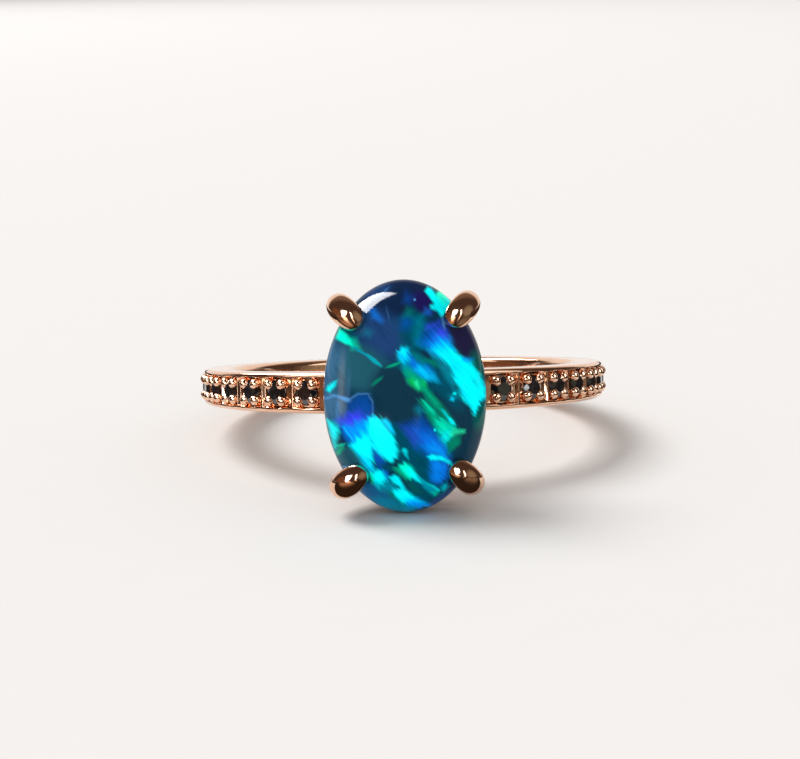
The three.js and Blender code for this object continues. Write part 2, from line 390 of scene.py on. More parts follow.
def makeOpal():                      # an oval cabochon: domed top, tucked-in back, flat base
    fresh()
    bpy.ops.mesh.primitive_uv_sphere_add(segments=opal["sides"], ring_count=opal["rings"], radius=1)
    piece = bpy.context.object
    edit()
    stretch(opal["width"] / 2, opal["length"] / 2, opal["dome"])
    choose("VERT", lambda v: v.co.z < -tiny)
    stretch(1, 1, opal["lower"] / opal["dome"])
    bpy.ops.mesh.select_all(action="SELECT")
    bpy.ops.mesh.bisect(plane_co=(0, 0, -opal["base"]), plane_no=(0, 0, -1), use_fill=True, clear_outer=True)
    choose("EDGE", lambda e: all(abs(v.co.z + opal["base"]) < tiny for v in e.verts))
    bpy.ops.mesh.bevel(offset=opal["backRound"], segments=opal["backSteps"], affect="EDGES")
    leave()
    tidyMesh(opal["weld"])
    piece.name = "opal_cabochon"
    piece.data.name = "opal_cabochon"
    setDown(piece, ringPlace @ headPlace, "opal", opal["smooth"])
    return piece


opalStone = makeOpal()
metal = (shank, paveBeads, clawHead)


# shader wiring: sums on a wire add Math nodes, everything else comes from node()
class Wire:
    def __init__(self, tree, socket):
        self.tree = tree
        self.socket = socket

    def node(self, kind, settings, inputs, out=0):
        made = self.tree.nodes.new(kind)
        for name, value in settings.items():
            setattr(made, name, value)
        for name, value in inputs.items():
            if isinstance(name, int):
                target = made.inputs[name]
            else:
                target = next(s for s in made.inputs if s.enabled and s.name == name)
            if isinstance(value, Wire):
                self.tree.links.new(value.socket, target)
            else:
                target.default_value = value
        if isinstance(out, int):
            return Wire(self.tree, [s for s in made.outputs if s.enabled][out])
        return Wire(self.tree, made.outputs[out])

    def sum(self, operation, first, second):
        return self.node("ShaderNodeMath", {"operation": operation}, {0: first, 1: second})

    def __add__(self, other):
        return self.sum("ADD", self, other)

    __radd__ = __add__

    def __sub__(self, other):
        return self.sum("SUBTRACT", self, other)

    def __rsub__(self, other):
        return self.sum("SUBTRACT", other, self)

    def __mul__(self, other):
        return self.sum("MULTIPLY", self, other)

    __rmul__ = __mul__

    def __truediv__(self, other):
        return self.sum("DIVIDE", self, other)

    def size(self):                  # without its sign
        return self.node("ShaderNodeMath", {"operation": "ABSOLUTE"}, {0: self})

    def vector(self, operation, *values):
        out = "Value" if operation in ("DOT_PRODUCT", "LENGTH") else "Vector"
        return self.node("ShaderNodeVectorMath", {"operation": operation}, dict(enumerate(values)), out)

    def blend(self, first, second, share, **settings):
        return self.node("ShaderNodeMix", {"data_type": "RGBA", **settings}, {
            "Factor": share, "A": first, "B": second})

    def mix(self, other, share):     # this colour towards another
        return self.blend(self, other, share)

    def mapped(self, place=origin, turn=origin, size=(1, 1, 1)):
        return self.node("ShaderNodeMapping", {"vector_type": "TEXTURE"},
                         {"Vector": self, "Location": place, "Rotation": turn, "Scale": size})

    def noise(self, scale, detail=3.0, rough=0.5, out="Fac"):
        return self.node("ShaderNodeTexNoise", {}, {
            "Vector": self, "Scale": scale, "Detail": detail, "Roughness": rough}, out)

    def ranged(self, low, high, newLow=0.0, newHigh=1.0):
        return self.node("ShaderNodeMapRange", {"interpolation_type": "SMOOTHSTEP"}, {
            "Value": self, "From Min": low, "From Max": high, "To Min": newLow, "To Max": newHigh})

    def feeds(self, shader, name):
        self.tree.links.new(self.socket, shader.inputs[name])


def newMaterial(name, **constants):
    made = bpy.data.materials.new(name)
    made.use_nodes = True
    tree = made.node_tree
    shader = tree.nodes["Principled BSDF"]
    for key, value in constants.items():
        shader.inputs[key.replace("_", " ")].default_value = value
    place = Wire(tree, tree.nodes.new("ShaderNodeTexCoord").outputs["Object"])
    return made, shader, place.mapped(size=(mm, mm, mm))


# noises in the looks: scale, then detail and roughness
noiseMiddle = 0.5
roseGoldLook = {
    "bright": (0.93, 0.61, 0.43, 1), "deep": (0.89, 0.545, 0.375, 1),
    "cloud": (0.7, 4.0), "cloudRange": (0.35, 0.65), "wave": (1.3, 2.0),
    "scratch": (14.0, 5.0, 0.65), "scratchRange": (0.3, 0.7), "polish": (0.06, 0.12),
    "scratchHeight": 0.008, "bump": 0.35, "bumpHeight": 0.00002,
}


def makeRoseGold():
    look = roseGoldLook
    made, shader, place = newMaterial("rose_gold_polished", Metallic=1.0)
    cloud = place.noise(*look["cloud"]).ranged(*look["cloudRange"])
    place.blend(look["bright"], look["deep"], cloud).feeds(shader, "Base Color")
    fine = place.noise(*look["scratch"])
    fine.ranged(*look["scratchRange"], *look["polish"]).feeds(shader, "Roughness")
    height = place.noise(*look["wave"]) + fine * look["scratchHeight"]
    bump = {"Strength": look["bump"], "Distance": look["bumpHeight"], "Height": height}
    place.node("ShaderNodeBump", {}, bump, "Normal").feeds(shader, "Normal")
    return made


diamondLook = {
    "black": (0.006, 0.006, 0.008, 1), "grey": (0.045, 0.046, 0.052, 1),
    "pits": (3.2, 6.0, 0.7), "greyRange": (0.48, 0.72), "dullRange": (0.45, 0.75), "polish": (0.03, 0.2),
}


def makeBlackDiamond():
    look = diamondLook
    made, shader, place = newMaterial("black_diamond_facets", IOR=2.42, Specular_IOR_Level=0.36)
    pits = place.noise(*look["pits"])
    place.blend(look["black"], look["grey"], pits.ranged(*look["greyRange"])).feeds(shader, "Base Color")
    pits.ranged(*look["dullRange"], *look["polish"]).feeds(shader, "Roughness")
    return made


# colours of the opal's fire, with blue-greys for a painted window reflection along its left edge
fire = {
    "cyan": (0.0, 0.97, 1.0), "sky": (0.0, 0.69, 1.0), "aqua": (0.0, 0.81, 0.81), "mint": (0.0, 1.0, 0.66),
    "spring": (0.02, 0.85, 0.40), "leaf": (0.003, 0.58, 0.09), "jade": (0.0, 0.66, 0.40),
    "green": (0.0, 0.35, 0.18), "deepGreen": (0.0, 0.19, 0.116), "pine": (0.002, 0.08, 0.07),
    "teal": (0.0, 0.25, 0.35), "darkTeal": (0.0, 0.06, 0.10), "clear": (0.0, 0.35, 1.0),
    "azure": (0.002, 0.18, 0.77), "royal": (0.002, 0.07, 0.40), "deepRoyal": (0.002, 0.05, 0.25),
    "violet": (0.045, 0.05, 0.90), "navy": (0.004, 0.014, 0.045), "dusk": (0.011, 0.043, 0.14),
    "blueDusk": (0.008, 0.08, 0.20), "indigo": (0.010, 0.007, 0.07), "plum": (0.012, 0.011, 0.040),
    "slate": (0.005, 0.030, 0.055), "sea": (0.012, 0.080, 0.115), "haze": (0.055, 0.19, 0.45),
    "pale": (0.11, 0.36, 0.80), "night": (0.001, 0.012, 0.03), "paintedVeil": (0.045, 0.125, 0.235),
    "paintedVeilGrey": (0.12, 0.17, 0.22), "potch": (0.014, 0.015, 0.020),
}
# soft ground, each row: colour, right, up, half length, half width, turn, softness, strength (mm, degrees); the
# blue-grey rows at the left edge are a painted window reflection
ground = (
    ("navy", 0.0, 4.4, 2.4, 1.0, 0, 0.4, 1.0),
    ("dusk", -1.0, 2.7, 1.1, 0.9, -40, 0.45, 1.0),
    ("dusk", -1.2, 4.45, 0.6, 0.25, 28, 0.5, 0.7),
    ("sea", -1.9, 1.35, 1.2, 0.9, -15, 0.4, 1.0),
    # dark stone with a painted reflection over it: the faint grey veil of a window across the middle
    ("slate", -0.35, 0.3, 1.2, 0.95, -50, 0.35, 1.0),
    ("plum", 2.7, 2.6, 1.1, 0.75, -62, 0.35, 1.0),
    ("pine", 3.1, 1.4, 0.6, 0.35, -70, 0.5, 0.9),
    ("slate", 2.4, -0.6, 1.1, 0.5, -50, 0.4, 1.0),
    ("slate", 2.85, -1.9, 1.1, 0.7, 75, 0.4, 1.0),
    ("darkTeal", 0.45, -2.6, 1.2, 0.6, -50, 0.4, 1.0),
    ("blueDusk", -1.25, -4.15, 0.9, 0.5, -30, 0.5, 1.0),
    ("teal", -0.6, -4.6, 0.8, 0.35, -15, 0.6, 0.55),
    ("sea", -2.5, -2.5, 0.65, 0.5, -35, 0.4, 1.0),
    ("darkTeal", 1.6, 0.65, 1.2, 0.4, -52, 0.5, 1.0),
    ("darkTeal", 0.4, 3.0, 0.9, 0.6, 80, 0.5, 0.9),
    ("indigo", 0.8, 4.05, 0.55, 0.4, -40, 0.4, 1.0),
    # painted reflection: a pale blue-grey veil down the left edge, where a window shows in the dome
    ("paintedVeil", -3.28, 1.3, 1.2, 0.38, 84, 0.7, 0.7),
    ("paintedVeil", -2.75, 1.6, 0.9, 0.25, 78, 0.8, 0.4),
    ("paintedVeil", -3.1, -0.3, 0.6, 0.4, 84, 0.6, 0.8),
    ("pale", -2.82, -0.55, 0.6, 0.12, 86, 0.7, 0.25),
    ("paintedVeil", -2.42, 0.3, 0.9, 0.10, 86, 0.9, 0.5),
    ("paintedVeilGrey", -2.68, 0.75, 0.9, 0.14, 88, 0.8, 0.6),
    ("paintedVeilGrey", -2.66, -0.35, 0.5, 0.16, 88, 0.8, 0.5),
    ("pine", 3.2, -0.75, 0.6, 0.3, 80, 0.5, 0.9),
    ("dusk", 1.6, -4.35, 0.6, 0.25, 35, 0.5, 0.9),
)
# flashes with straight sides, each row: colour, softness, fray, strength, then the corners (right, up)
flashes = (
    # dark stone with a painted reflection over it: the faint grey veil of a window across the middle
    ("slate", 0.07, 0.05, 0.85, (-1.0, 1.4), (-1.31, 0.52), (-1.31, -0.56), (-0.83, -0.75), (0.19, -0.8),
      (0.65, -0.3), (0.75, 0.14), (0.19, 0.95), (-0.24, 1.38)),
    ("deepRoyal", 0.09, 0.05, 0.9, (-2.4, -0.1), (-1.95, 0.27), (-1.55, 0.22), (-1.38, -0.12), (-1.36, -0.6),
      (-1.8, -0.95), (-2.4, -0.75)),
    ("royal", 0.15, 0.05, 0.4, (-2.0, -0.2), (-1.6, 0.05), (-1.42, -0.2), (-1.42, -0.6), (-1.9, -0.8)),
    ("azure", 0.09, 0.05, 0.55, (-1.47, 3.75), (-1.3, 3.78), (-0.93, 3.33), (-1.0, 3.26), (-1.35, 3.42)),
    ("teal", 0.12, 0.1, 0.4, (-1.78, 2.75), (-1.65, 3.0), (-1.42, 2.85), (-1.5, 2.7)),
    ("royal", 0.14, 0.1, 0.6, (-0.15, 3.0), (-0.15, 3.4), (0.1, 3.55), (0.3, 3.3), (0.1, 3.0)),
    ("royal", 0.12, 0.1, 0.45, (-0.05, 4.1), (0.05, 4.45), (0.3, 4.3), (0.2, 4.05)),
    ("deepGreen", 0.1, 0.1, 0.5, (-0.05, 3.5), (0.1, 3.85), (0.3, 3.75), (0.25, 3.5)),
    ("teal", 0.14, 0.1, 0.45, (0.35, 2.3), (0.4, 3.4), (0.7, 3.5), (0.8, 3.0), (0.65, 2.3)),
    ("azure", 0.1, 0.06, 0.5, (0.82, 3.6), (0.87, 3.8), (1.08, 3.75), (1.05, 3.6)),
    ("royal", 0.15, 0.15, 0.85, (0.6, 2.5), (0.95, 3.15), (1.5, 3.2), (1.6, 2.8), (1.2, 2.4)),
    ("violet", 0.1, 0.1, 0.5, (0.95, 3.05), (1.0, 3.15), (1.3, 3.22), (1.2, 3.1)),
    ("violet", 0.14, 0.12, 0.9, (1.3, 2.6), (1.48, 3.0), (1.68, 2.9), (1.75, 2.55), (1.5, 2.5)),
    ("azure", 0.15, 0.2, 1.0, (0.8, 2.35), (1.2, 2.7), (1.75, 2.6), (1.8, 2.3), (1.2, 2.05)),
    ("clear", 0.15, 0.25, 0.9, (1.2, 2.25), (1.5, 2.55), (1.8, 2.5), (1.95, 2.15), (1.5, 2.0)),
    ("azure", 0.12, 0.2, 0.8, (0.05, 1.6), (0.1, 2.0), (0.45, 1.9), (1.05, 1.35), (1.25, 0.95), (0.8, 0.95),
      (0.35, 1.25)),
    ("sky", 0.12, 0.25, 0.75, (0.35, 1.35), (0.6, 1.5), (1.15, 1.1), (1.25, 0.9), (0.85, 0.95)),
    ("deepGreen", 0.09, 0.15, 0.85, (0.25, 2.0), (0.35, 2.25), (0.7, 1.85), (1.05, 1.65), (0.75, 1.55),
      (0.45, 1.7)),
    ("deepGreen", 0.06, 0.15, 0.9, (0.7, 1.7), (1.2, 1.68), (1.8, 1.1), (1.7, 1.05), (1.2, 1.45), (0.75, 1.55)),
    ("teal", 0.1, 0.2, 0.8, (1.3, 1.75), (1.7, 1.6), (2.1, 0.8), (2.0, 0.6), (1.7, 1.0)),
    ("sky", 0.08, 0.15, 0.9, (-0.28, 1.75), (-0.3, 2.0), (-0.12, 2.25), (0.08, 2.2), (0.12, 1.75),
      (-0.05, 1.5)),
    ("cyan", 0.06, 0.1, 0.8, (-0.2, 2.05), (-0.1, 2.22), (0.05, 2.15), (0.0, 1.95)),
    ("teal", 0.1, 0.15, 0.9, (-0.2, 1.45), (0.1, 1.65), (0.3, 1.3), (0.1, 0.95)),
    ("green", 0.08, 0.2, 1.0, (-0.1, 1.5), (0.2, 1.3), (0.75, 1.05), (0.85, 0.55), (0.5, 0.52), (0.1, 0.85)),
    ("leaf", 0.06, 0.1, 0.9, (0.1, 0.92), (0.3, 0.97), (0.68, 0.62), (0.62, 0.5), (0.25, 0.7)),
    ("spring", 0.05, 0.08, 0.9, (0.38, 0.82), (0.48, 0.88), (0.63, 0.6), (0.56, 0.54), (0.42, 0.68)),
    ("leaf", 0.06, 0.1, 0.6, (0.68, 0.92), (0.85, 0.87), (0.86, 0.5), (0.7, 0.5)),
    ("deepGreen", 0.08, 0.12, 1.0, (0.62, 0.62), (0.9, 0.55), (1.6, -0.25), (2.05, -0.9), (1.9, -1.0),
      (1.15, -0.25)),
    ("green", 0.07, 0.12, 0.9, (0.6, 0.62), (0.85, 0.55), (1.4, -0.05), (1.5, -0.3), (1.25, -0.12)),
    ("teal", 0.1, 0.15, 0.6, (0.4, -0.3), (0.55, -0.15), (0.75, -0.35), (0.6, -0.5), (0.45, -0.45)),
    ("royal", 0.2, 0.25, 1.0, (0.0, -1.05), (0.7, -0.7), (1.05, -1.1), (1.6, -1.6), (1.7, -2.3), (1.0, -2.2),
      (0.45, -1.85)),
    ("violet", 0.15, 0.2, 0.3, (0.0, -1.15), (0.25, -1.2), (0.65, -1.65), (0.4, -1.75)),
    ("azure", 0.2, 0.25, 0.8, (0.6, -1.4), (1.1, -1.4), (1.6, -1.9), (1.65, -2.3), (1.1, -2.2), (0.7, -1.85)),
    ("clear", 0.15, 0.25, 0.7, (0.9, -1.9), (1.2, -1.8), (1.65, -2.2), (1.65, -2.4), (1.2, -2.25)),
    ("green", 0.09, 0.25, 1.0, (0.65, 0.05), (0.8, 0.08), (1.3, -0.55), (1.75, -1.1), (1.5, -1.35),
      (1.05, -0.75)),
    ("jade", 0.05, 0.15, 0.8, (0.72, 0.03), (0.8, 0.03), (1.15, -0.35), (1.22, -0.6), (1.0, -0.4)),
    ("jade", 0.08, 0.2, 1.0, (1.2, -0.85), (1.55, -0.72), (2.15, -1.15), (2.0, -1.5), (1.7, -1.75),
      (1.45, -1.35)),
    ("aqua", 0.1, 0.15, 0.8, (1.4, -1.3), (1.9, -1.3), (1.85, -1.6), (1.7, -1.8), (1.5, -1.6)),
    ("spring", 0.06, 0.08, 0.8, (2.0, -1.2), (2.5, -1.28), (2.5, -1.38), (2.1, -1.48), (1.9, -1.45)),
    ("darkTeal", 0.04, 0.08, 0.6, (0.95, -0.85), (1.05, -0.85), (1.55, -1.45), (1.45, -1.5)),
    ("aqua", 0.04, 0.06, 0.9, (1.5, -0.35), (1.56, -0.36), (2.07, -0.98), (1.98, -1.0)),
    ("cyan", 0.04, 0.04, 1.0, (1.8, -0.72), (1.9, -0.74), (2.03, -0.9), (2.06, -1.0), (1.9, -0.92)),
    ("deepGreen", 0.06, 0.08, 1.0, (1.78, -1.75), (2.1, -1.5), (2.55, -1.48), (2.6, -1.6), (2.3, -1.85),
      (2.22, -2.6), (2.0, -2.7), (1.8, -2.4)),
    ("azure", 0.12, 0.12, 0.9, (1.05, -2.45), (1.85, -2.65), (1.85, -3.2), (1.4, -3.6), (1.1, -3.35)),
    ("clear", 0.12, 0.1, 0.3, (1.25, -2.6), (1.45, -2.6), (1.45, -3.4), (1.25, -3.4)),
    ("cyan", 0.05, 0.05, 1.0, (0.95, -2.35), (1.1, -2.27), (1.55, -2.38), (1.6, -2.5), (1.3, -2.5),
      (1.05, -2.48)),
    ("cyan", 0.05, 0.05, 0.95, (1.4, -2.38), (1.6, -2.42), (1.9, -2.62), (1.97, -2.78), (1.82, -2.68),
      (1.5, -2.52)),
    ("cyan", 0.05, 0.06, 1.0, (0.85, 4.5), (0.96, 4.66), (1.1, 4.62), (1.5, 4.2), (1.55, 3.62), (1.3, 3.95)),
    ("mint", 0.05, 0.06, 1.0, (1.3, 4.4), (1.4, 4.52), (1.6, 4.46), (2.03, 4.1), (1.9, 3.9), (1.5, 4.05)),
    ("cyan", 0.05, 0.06, 1.0, (1.3, 3.9), (1.9, 4.0), (1.62, 3.5), (1.5, 3.5)),
    ("aqua", 0.05, 0.05, 1.0, (1.08, 3.95), (1.1, 3.83), (1.35, 3.72), (1.5, 3.9), (1.35, 4.0)),
    ("aqua", 0.06, 0.06, 0.95, (1.1, 4.4), (1.3, 4.42), (1.6, 4.25), (1.98, 4.05), (1.65, 3.6), (1.4, 3.8)),
    ("spring", 0.08, 0.1, 0.7, (1.35, 4.35), (1.5, 4.48), (1.7, 4.2), (1.7, 4.0), (1.55, 4.1)),
    ("pine", 0.05, 0.05, 0.95, (1.15, 4.62), (1.3, 4.4), (1.42, 4.54), (1.35, 4.66)),
    ("sky", 0.12, 0.3, 1.0, (1.05, 2.15), (1.3, 2.35), (1.78, 2.38), (2.05, 2.05), (1.7, 1.7), (1.35, 1.85)),
    ("cyan", 0.07, 0.2, 1.0, (1.3, 2.05), (1.95, 2.1), (2.32, 1.66), (2.1, 1.2), (1.85, 1.45), (1.5, 1.8)),
    ("cyan", 0.07, 0.2, 1.0, (1.78, 1.72), (2.3, 1.68), (2.8, 1.55), (3.12, 1.0), (2.6, 0.4), (2.12, 0.75),
      (1.95, 1.15)),
    ("cyan", 0.07, 0.1, 1.0, (1.9, 2.05), (2.15, 1.95), (2.75, 1.5), (2.6, 1.2), (2.0, 1.4)),
    ("cyan", 0.07, 0.2, 1.0, (2.12, 0.9), (3.1, 1.05), (3.42, 0.4), (3.46, 0.0), (3.1, -0.2), (2.75, -0.25),
      (2.4, 0.05)),
    ("cyan", 0.06, 0.12, 1.0, (2.65, -0.05), (3.32, 0.0), (3.1, -0.35), (3.06, -0.65), (2.98, -0.82),
      (2.88, -0.7), (2.8, -0.4)),
    ("clear", 0.08, 0.1, 0.8, (2.35, 1.62), (2.45, 1.76), (2.8, 1.66), (2.7, 1.55)),
    ("teal", 0.1, 0.12, 0.6, (1.85, 0.2), (2.0, 0.5), (2.3, 0.35), (2.3, 0.1)),
    ("sky", 0.05, 0.04, 0.9, (1.88, 0.06), (1.93, 0.16), (2.04, 0.1), (2.02, 0.0)),
    ("violet", 0.18, 0.15, 1.0, (-2.72, -0.95), (-2.5, -0.68), (-2.0, -0.5), (-1.78, -0.7), (-2.0, -1.05),
      (-2.45, -1.12)),
    ("azure", 0.15, 0.2, 1.0, (-2.65, -1.1), (-2.3, -1.0), (-1.8, -0.85), (-1.5, -0.75), (-1.5, -1.4),
      (-2.1, -1.9), (-2.5, -1.6)),
    ("clear", 0.15, 0.25, 1.0, (-2.3, -1.2), (-1.9, -0.95), (-1.5, -0.8), (-1.4, -1.5), (-2.0, -1.8)),
    ("sky", 0.12, 0.25, 0.9, (-2.25, -1.65), (-1.75, -1.3), (-1.4, -0.85), (-1.4, -1.6), (-1.9, -2.0)),
    ("cyan", 0.08, 0.22, 1.0, (-1.6, -0.85), (-1.36, -0.6), (-1.05, -0.72), (-0.7, -1.25), (-0.45, -1.7),
      (-0.95, -2.0), (-1.45, -1.5)),
    ("cyan", 0.08, 0.22, 1.0, (-1.45, -1.3), (-0.6, -1.4), (-0.3, -2.0), (-0.35, -2.3), (-0.65, -2.55),
      (-0.95, -2.4), (-1.4, -1.95)),
    ("sky", 0.05, 0.1, 0.9, (-1.0, -0.76), (-0.82, -0.68), (-0.62, -0.88), (-0.47, -1.35), (-0.6, -1.3),
      (-0.85, -1.0)),
    ("cyan", 0.09, 0.25, 1.0, (-2.3, -1.95), (-1.9, -1.6), (-1.4, -1.4), (-1.35, -2.05), (-1.35, -2.65),
      (-1.55, -2.75), (-2.0, -2.3)),
    ("sky", 0.1, 0.2, 0.8, (-1.9, -2.4), (-1.5, -2.45), (-1.25, -3.0), (-1.45, -3.1), (-1.75, -2.8)),
    ("azure", 0.04, 0.05, 0.5, (-2.68, -1.12), (-2.6, -1.12), (-2.12, -1.75), (-2.2, -1.82)),
    ("sky", 0.03, 0.04, 0.7, (-2.62, -1.15), (-2.58, -1.15), (-2.05, -1.85), (-2.1, -1.9)),
    ("royal", 0.05, 0.12, 0.9, (-1.4, -1.98), (-1.0, -2.35), (-0.8, -2.6), (-0.95, -2.95), (-1.2, -2.8),
      (-1.3, -2.4)),
    ("darkTeal", 0.1, 0.15, 0.9, (-1.15, -2.4), (-0.75, -2.6), (-0.4, -2.5), (-0.55, -3.0), (-0.9, -3.0)),
    ("cyan", 0.06, 0.12, 1.0, (-1.45, -3.15), (-1.2, -2.95), (-0.95, -2.98), (-0.76, -3.3), (-0.9, -3.65),
      (-1.1, -3.75), (-1.4, -3.45)),
    ("leaf", 0.07, 0.08, 0.6, (-1.48, -3.2), (-1.38, -3.1), (-1.3, -3.35), (-1.4, -3.5)),
    ("azure", 0.07, 0.1, 0.8, (-0.95, -2.95), (-0.8, -2.98), (-0.65, -3.25), (-0.75, -3.35)),
    ("teal", 0.12, 0.15, 0.8, (-1.3, -3.55), (-0.7, -3.4), (-0.2, -3.7), (-0.5, -4.0), (-1.1, -3.85)),
    ("cyan", 0.05, 0.1, 1.0, (-0.68, -3.25), (-0.45, -3.14), (-0.3, -3.24), (-0.03, -3.72), (-0.2, -3.66),
      (-0.5, -3.5)),
    ("deepGreen", 0.08, 0.1, 0.7, (-0.7, -3.95), (-0.5, -3.9), (-0.3, -4.2), (-0.5, -4.25)),
    ("cyan", 0.06, 0.2, 1.0, (-0.5, -3.85), (-0.1, -3.72), (0.4, -4.15), (0.7, -4.4), (0.2, -4.5),
      (-0.1, -4.45), (-0.4, -4.15)),
    ("clear", 0.1, 0.2, 0.9, (0.1, -4.3), (0.5, -4.25), (1.0, -4.58), (0.6, -4.7), (0.1, -4.6)),
    ("teal", 0.1, 0.15, 0.7, (-0.1, -4.6), (0.4, -4.65), (0.4, -4.85), (-0.1, -4.88)),
    ("green", 0.06, 0.12, 1.0, (-0.5, -2.85), (-0.2, -2.65), (0.05, -2.9), (0.2, -3.35), (0.0, -3.3)),
    ("mint", 0.06, 0.15, 1.0, (-0.25, -2.75), (0.0, -2.6), (0.22, -2.75), (0.5, -3.15), (0.2, -3.3),
      (0.0, -3.1)),
    ("cyan", 0.05, 0.12, 1.0, (0.15, -2.85), (0.28, -2.85), (0.6, -3.25), (0.9, -3.55), (0.6, -3.5),
      (0.25, -3.2)),
    ("teal", 0.06, 0.2, 1.0, (0.5, -3.2), (0.95, -3.5), (1.4, -3.9), (1.2, -4.1), (0.8, -3.75)),
    ("aqua", 0.04, 0.06, 0.9, (1.0, -3.58), (1.2, -3.65), (1.48, -3.9), (1.42, -3.95)),
    ("jade", 0.06, 0.1, 0.6, (1.1, -3.95), (1.3, -3.9), (1.4, -4.05), (1.25, -4.12)),
    ("teal", 0.08, 0.1, 0.9, (1.5, -3.7), (1.75, -3.55), (1.85, -3.75), (1.65, -3.95)),
    ("aqua", 0.05, 0.06, 0.5, (1.55, -3.78), (1.7, -3.68), (1.68, -3.9), (1.6, -3.92)),
    ("pine", 0.08, 0.12, 0.8, (0.0, -3.45), (0.3, -3.5), (0.75, -3.95), (0.5, -4.05)),
    ("cyan", 0.05, 0.05, 0.8, (0.0, -2.0), (0.06, -2.1), (0.1, -2.35), (0.02, -2.28), (-0.15, -2.05),
      (-0.1, -1.98)),
    ("aqua", 0.1, 0.12, 1.0, (-3.32, -1.0), (-3.1, -1.02), (-2.82, -1.25), (-2.95, -1.9), (-3.0, -2.1),
      (-3.15, -1.6)),
    ("jade", 0.04, 0.05, 0.8, (-3.0, -2.1), (-2.95, -1.98), (-2.55, -1.88), (-2.6, -1.98)),
    ("green", 0.05, 0.06, 1.0, (-2.92, -2.38), (-2.85, -2.15), (-2.65, -2.0), (-2.6, -2.1), (-2.82, -2.42)),
    ("aqua", 0.05, 0.06, 0.9, (-3.34, 0.33), (-3.2, 0.28), (-2.95, 0.55), (-2.9, 0.76), (-3.02, 0.72),
      (-3.28, 0.5)),
    ("mint", 0.05, 0.05, 1.0, (-2.95, 2.48), (-2.78, 2.92), (-2.62, 2.84), (-2.3, 2.52), (-2.18, 2.2),
      (-2.5, 2.34)),
    ("jade", 0.12, 0.06, 0.8, (-2.35, 2.56), (-2.1, 2.5), (-1.98, 2.2), (-2.2, 2.17)),
    ("violet", 0.06, 0.05, 0.5, (2.2, -2.72), (2.25, -2.62), (2.45, -2.62), (2.4, -2.7)),
)
# thin veins, rows as for the ground
veins = (
    ("teal", -1.9, 2.05, 0.4, 0.05, -28, 0.5, 0.9),
    ("aqua", -1.3, 1.7, 0.34, 0.07, -38, 0.5, 0.45),
    ("teal", -1.35, 1.72, 0.4, 0.08, -36, 0.5, 0.7),
    ("green", -0.48, 1.53, 0.32, 0.06, 22, 0.5, 0.75),
    ("deepGreen", -1.18, 0.84, 0.3, 0.075, 40, 0.5, 0.8),
    ("pale", -3.25, 0.02, 0.25, 0.05, 25, 0.7, 0.3),
    ("pale", -2.85, 0.12, 0.3, 0.06, -8, 0.7, 0.35),
    ("pale", -2.5, 0.03, 0.2, 0.09, -12, 0.7, 0.6),
    ("haze", -2.18, 0.15, 0.3, 0.05, 36, 0.7, 0.5),
    ("haze", -1.74, 0.29, 0.26, 0.045, 2, 0.7, 0.5),
    ("haze", -1.47, 0.14, 0.2, 0.04, -55, 0.7, 0.45),
    ("haze", -1.36, -0.25, 0.32, 0.04, -86, 0.7, 0.4),
    ("haze", 1.6, 3.25, 0.3, 0.06, -75, 0.5, 0.6),
    ("pale", -2.45, -2.9, 0.28, 0.03, 24, 0.5, 0.7),
    ("pale", 0.4, 4.18, 0.05, 0.05, 0, 0.5, 0.5),
    ("haze", -0.85, 4.55, 0.25, 0.03, 38, 0.5, 0.35),
    ("haze", -0.72, 3.6, 0.3, 0.03, -75, 0.6, 0.22),
    ("aqua", 1.24, -1.2, 0.07, 0.05, -60, 0.6, 0.8),
    ("aqua", 2.06, 0.3, 0.08, 0.06, 0, 0.6, 0.8),
)
opalLook = {
    "flow": -48, "faceTurn": 2.9, "roll": -1.2, "deep": 1e6,
    "drift": (2.2, 4.0, 0.6), "wander": 0.10, "comb": 0.9, "combedFrom": 0.11, "soften": 1.95,
    # noises drawn out along the flow: length, width, detail, roughness
    "fibre": (1.1, 0.11, 4.0, 0.65), "strand": (2.4, 0.10, 5.0, 0.7),
    "fine": (1.6, 0.06, 3.0, 0.6), "fineRange": (0.6, 0.33), "streak": 0.62, "streakTint": (0.3, 0.55, 0.85, 1),
    "wide": (1.8, 0.4, 3.0, 0.6), "wideRange": (0.5, 0.2), "shimmer": 0.35,
    "base": 0.9, "baseRange": (0.35, 0.65), "lightRange": (0.08, 0.35), "paintedGlow": 0.5,
    "potch": (1.4, 5.0, 0.6), "border": (0.9, 4.0, 0.6), "ragged": 0.25, "colourBar": (0.34, 0.02),
}


def fireColour(name):
    return (*fire[name], 1)


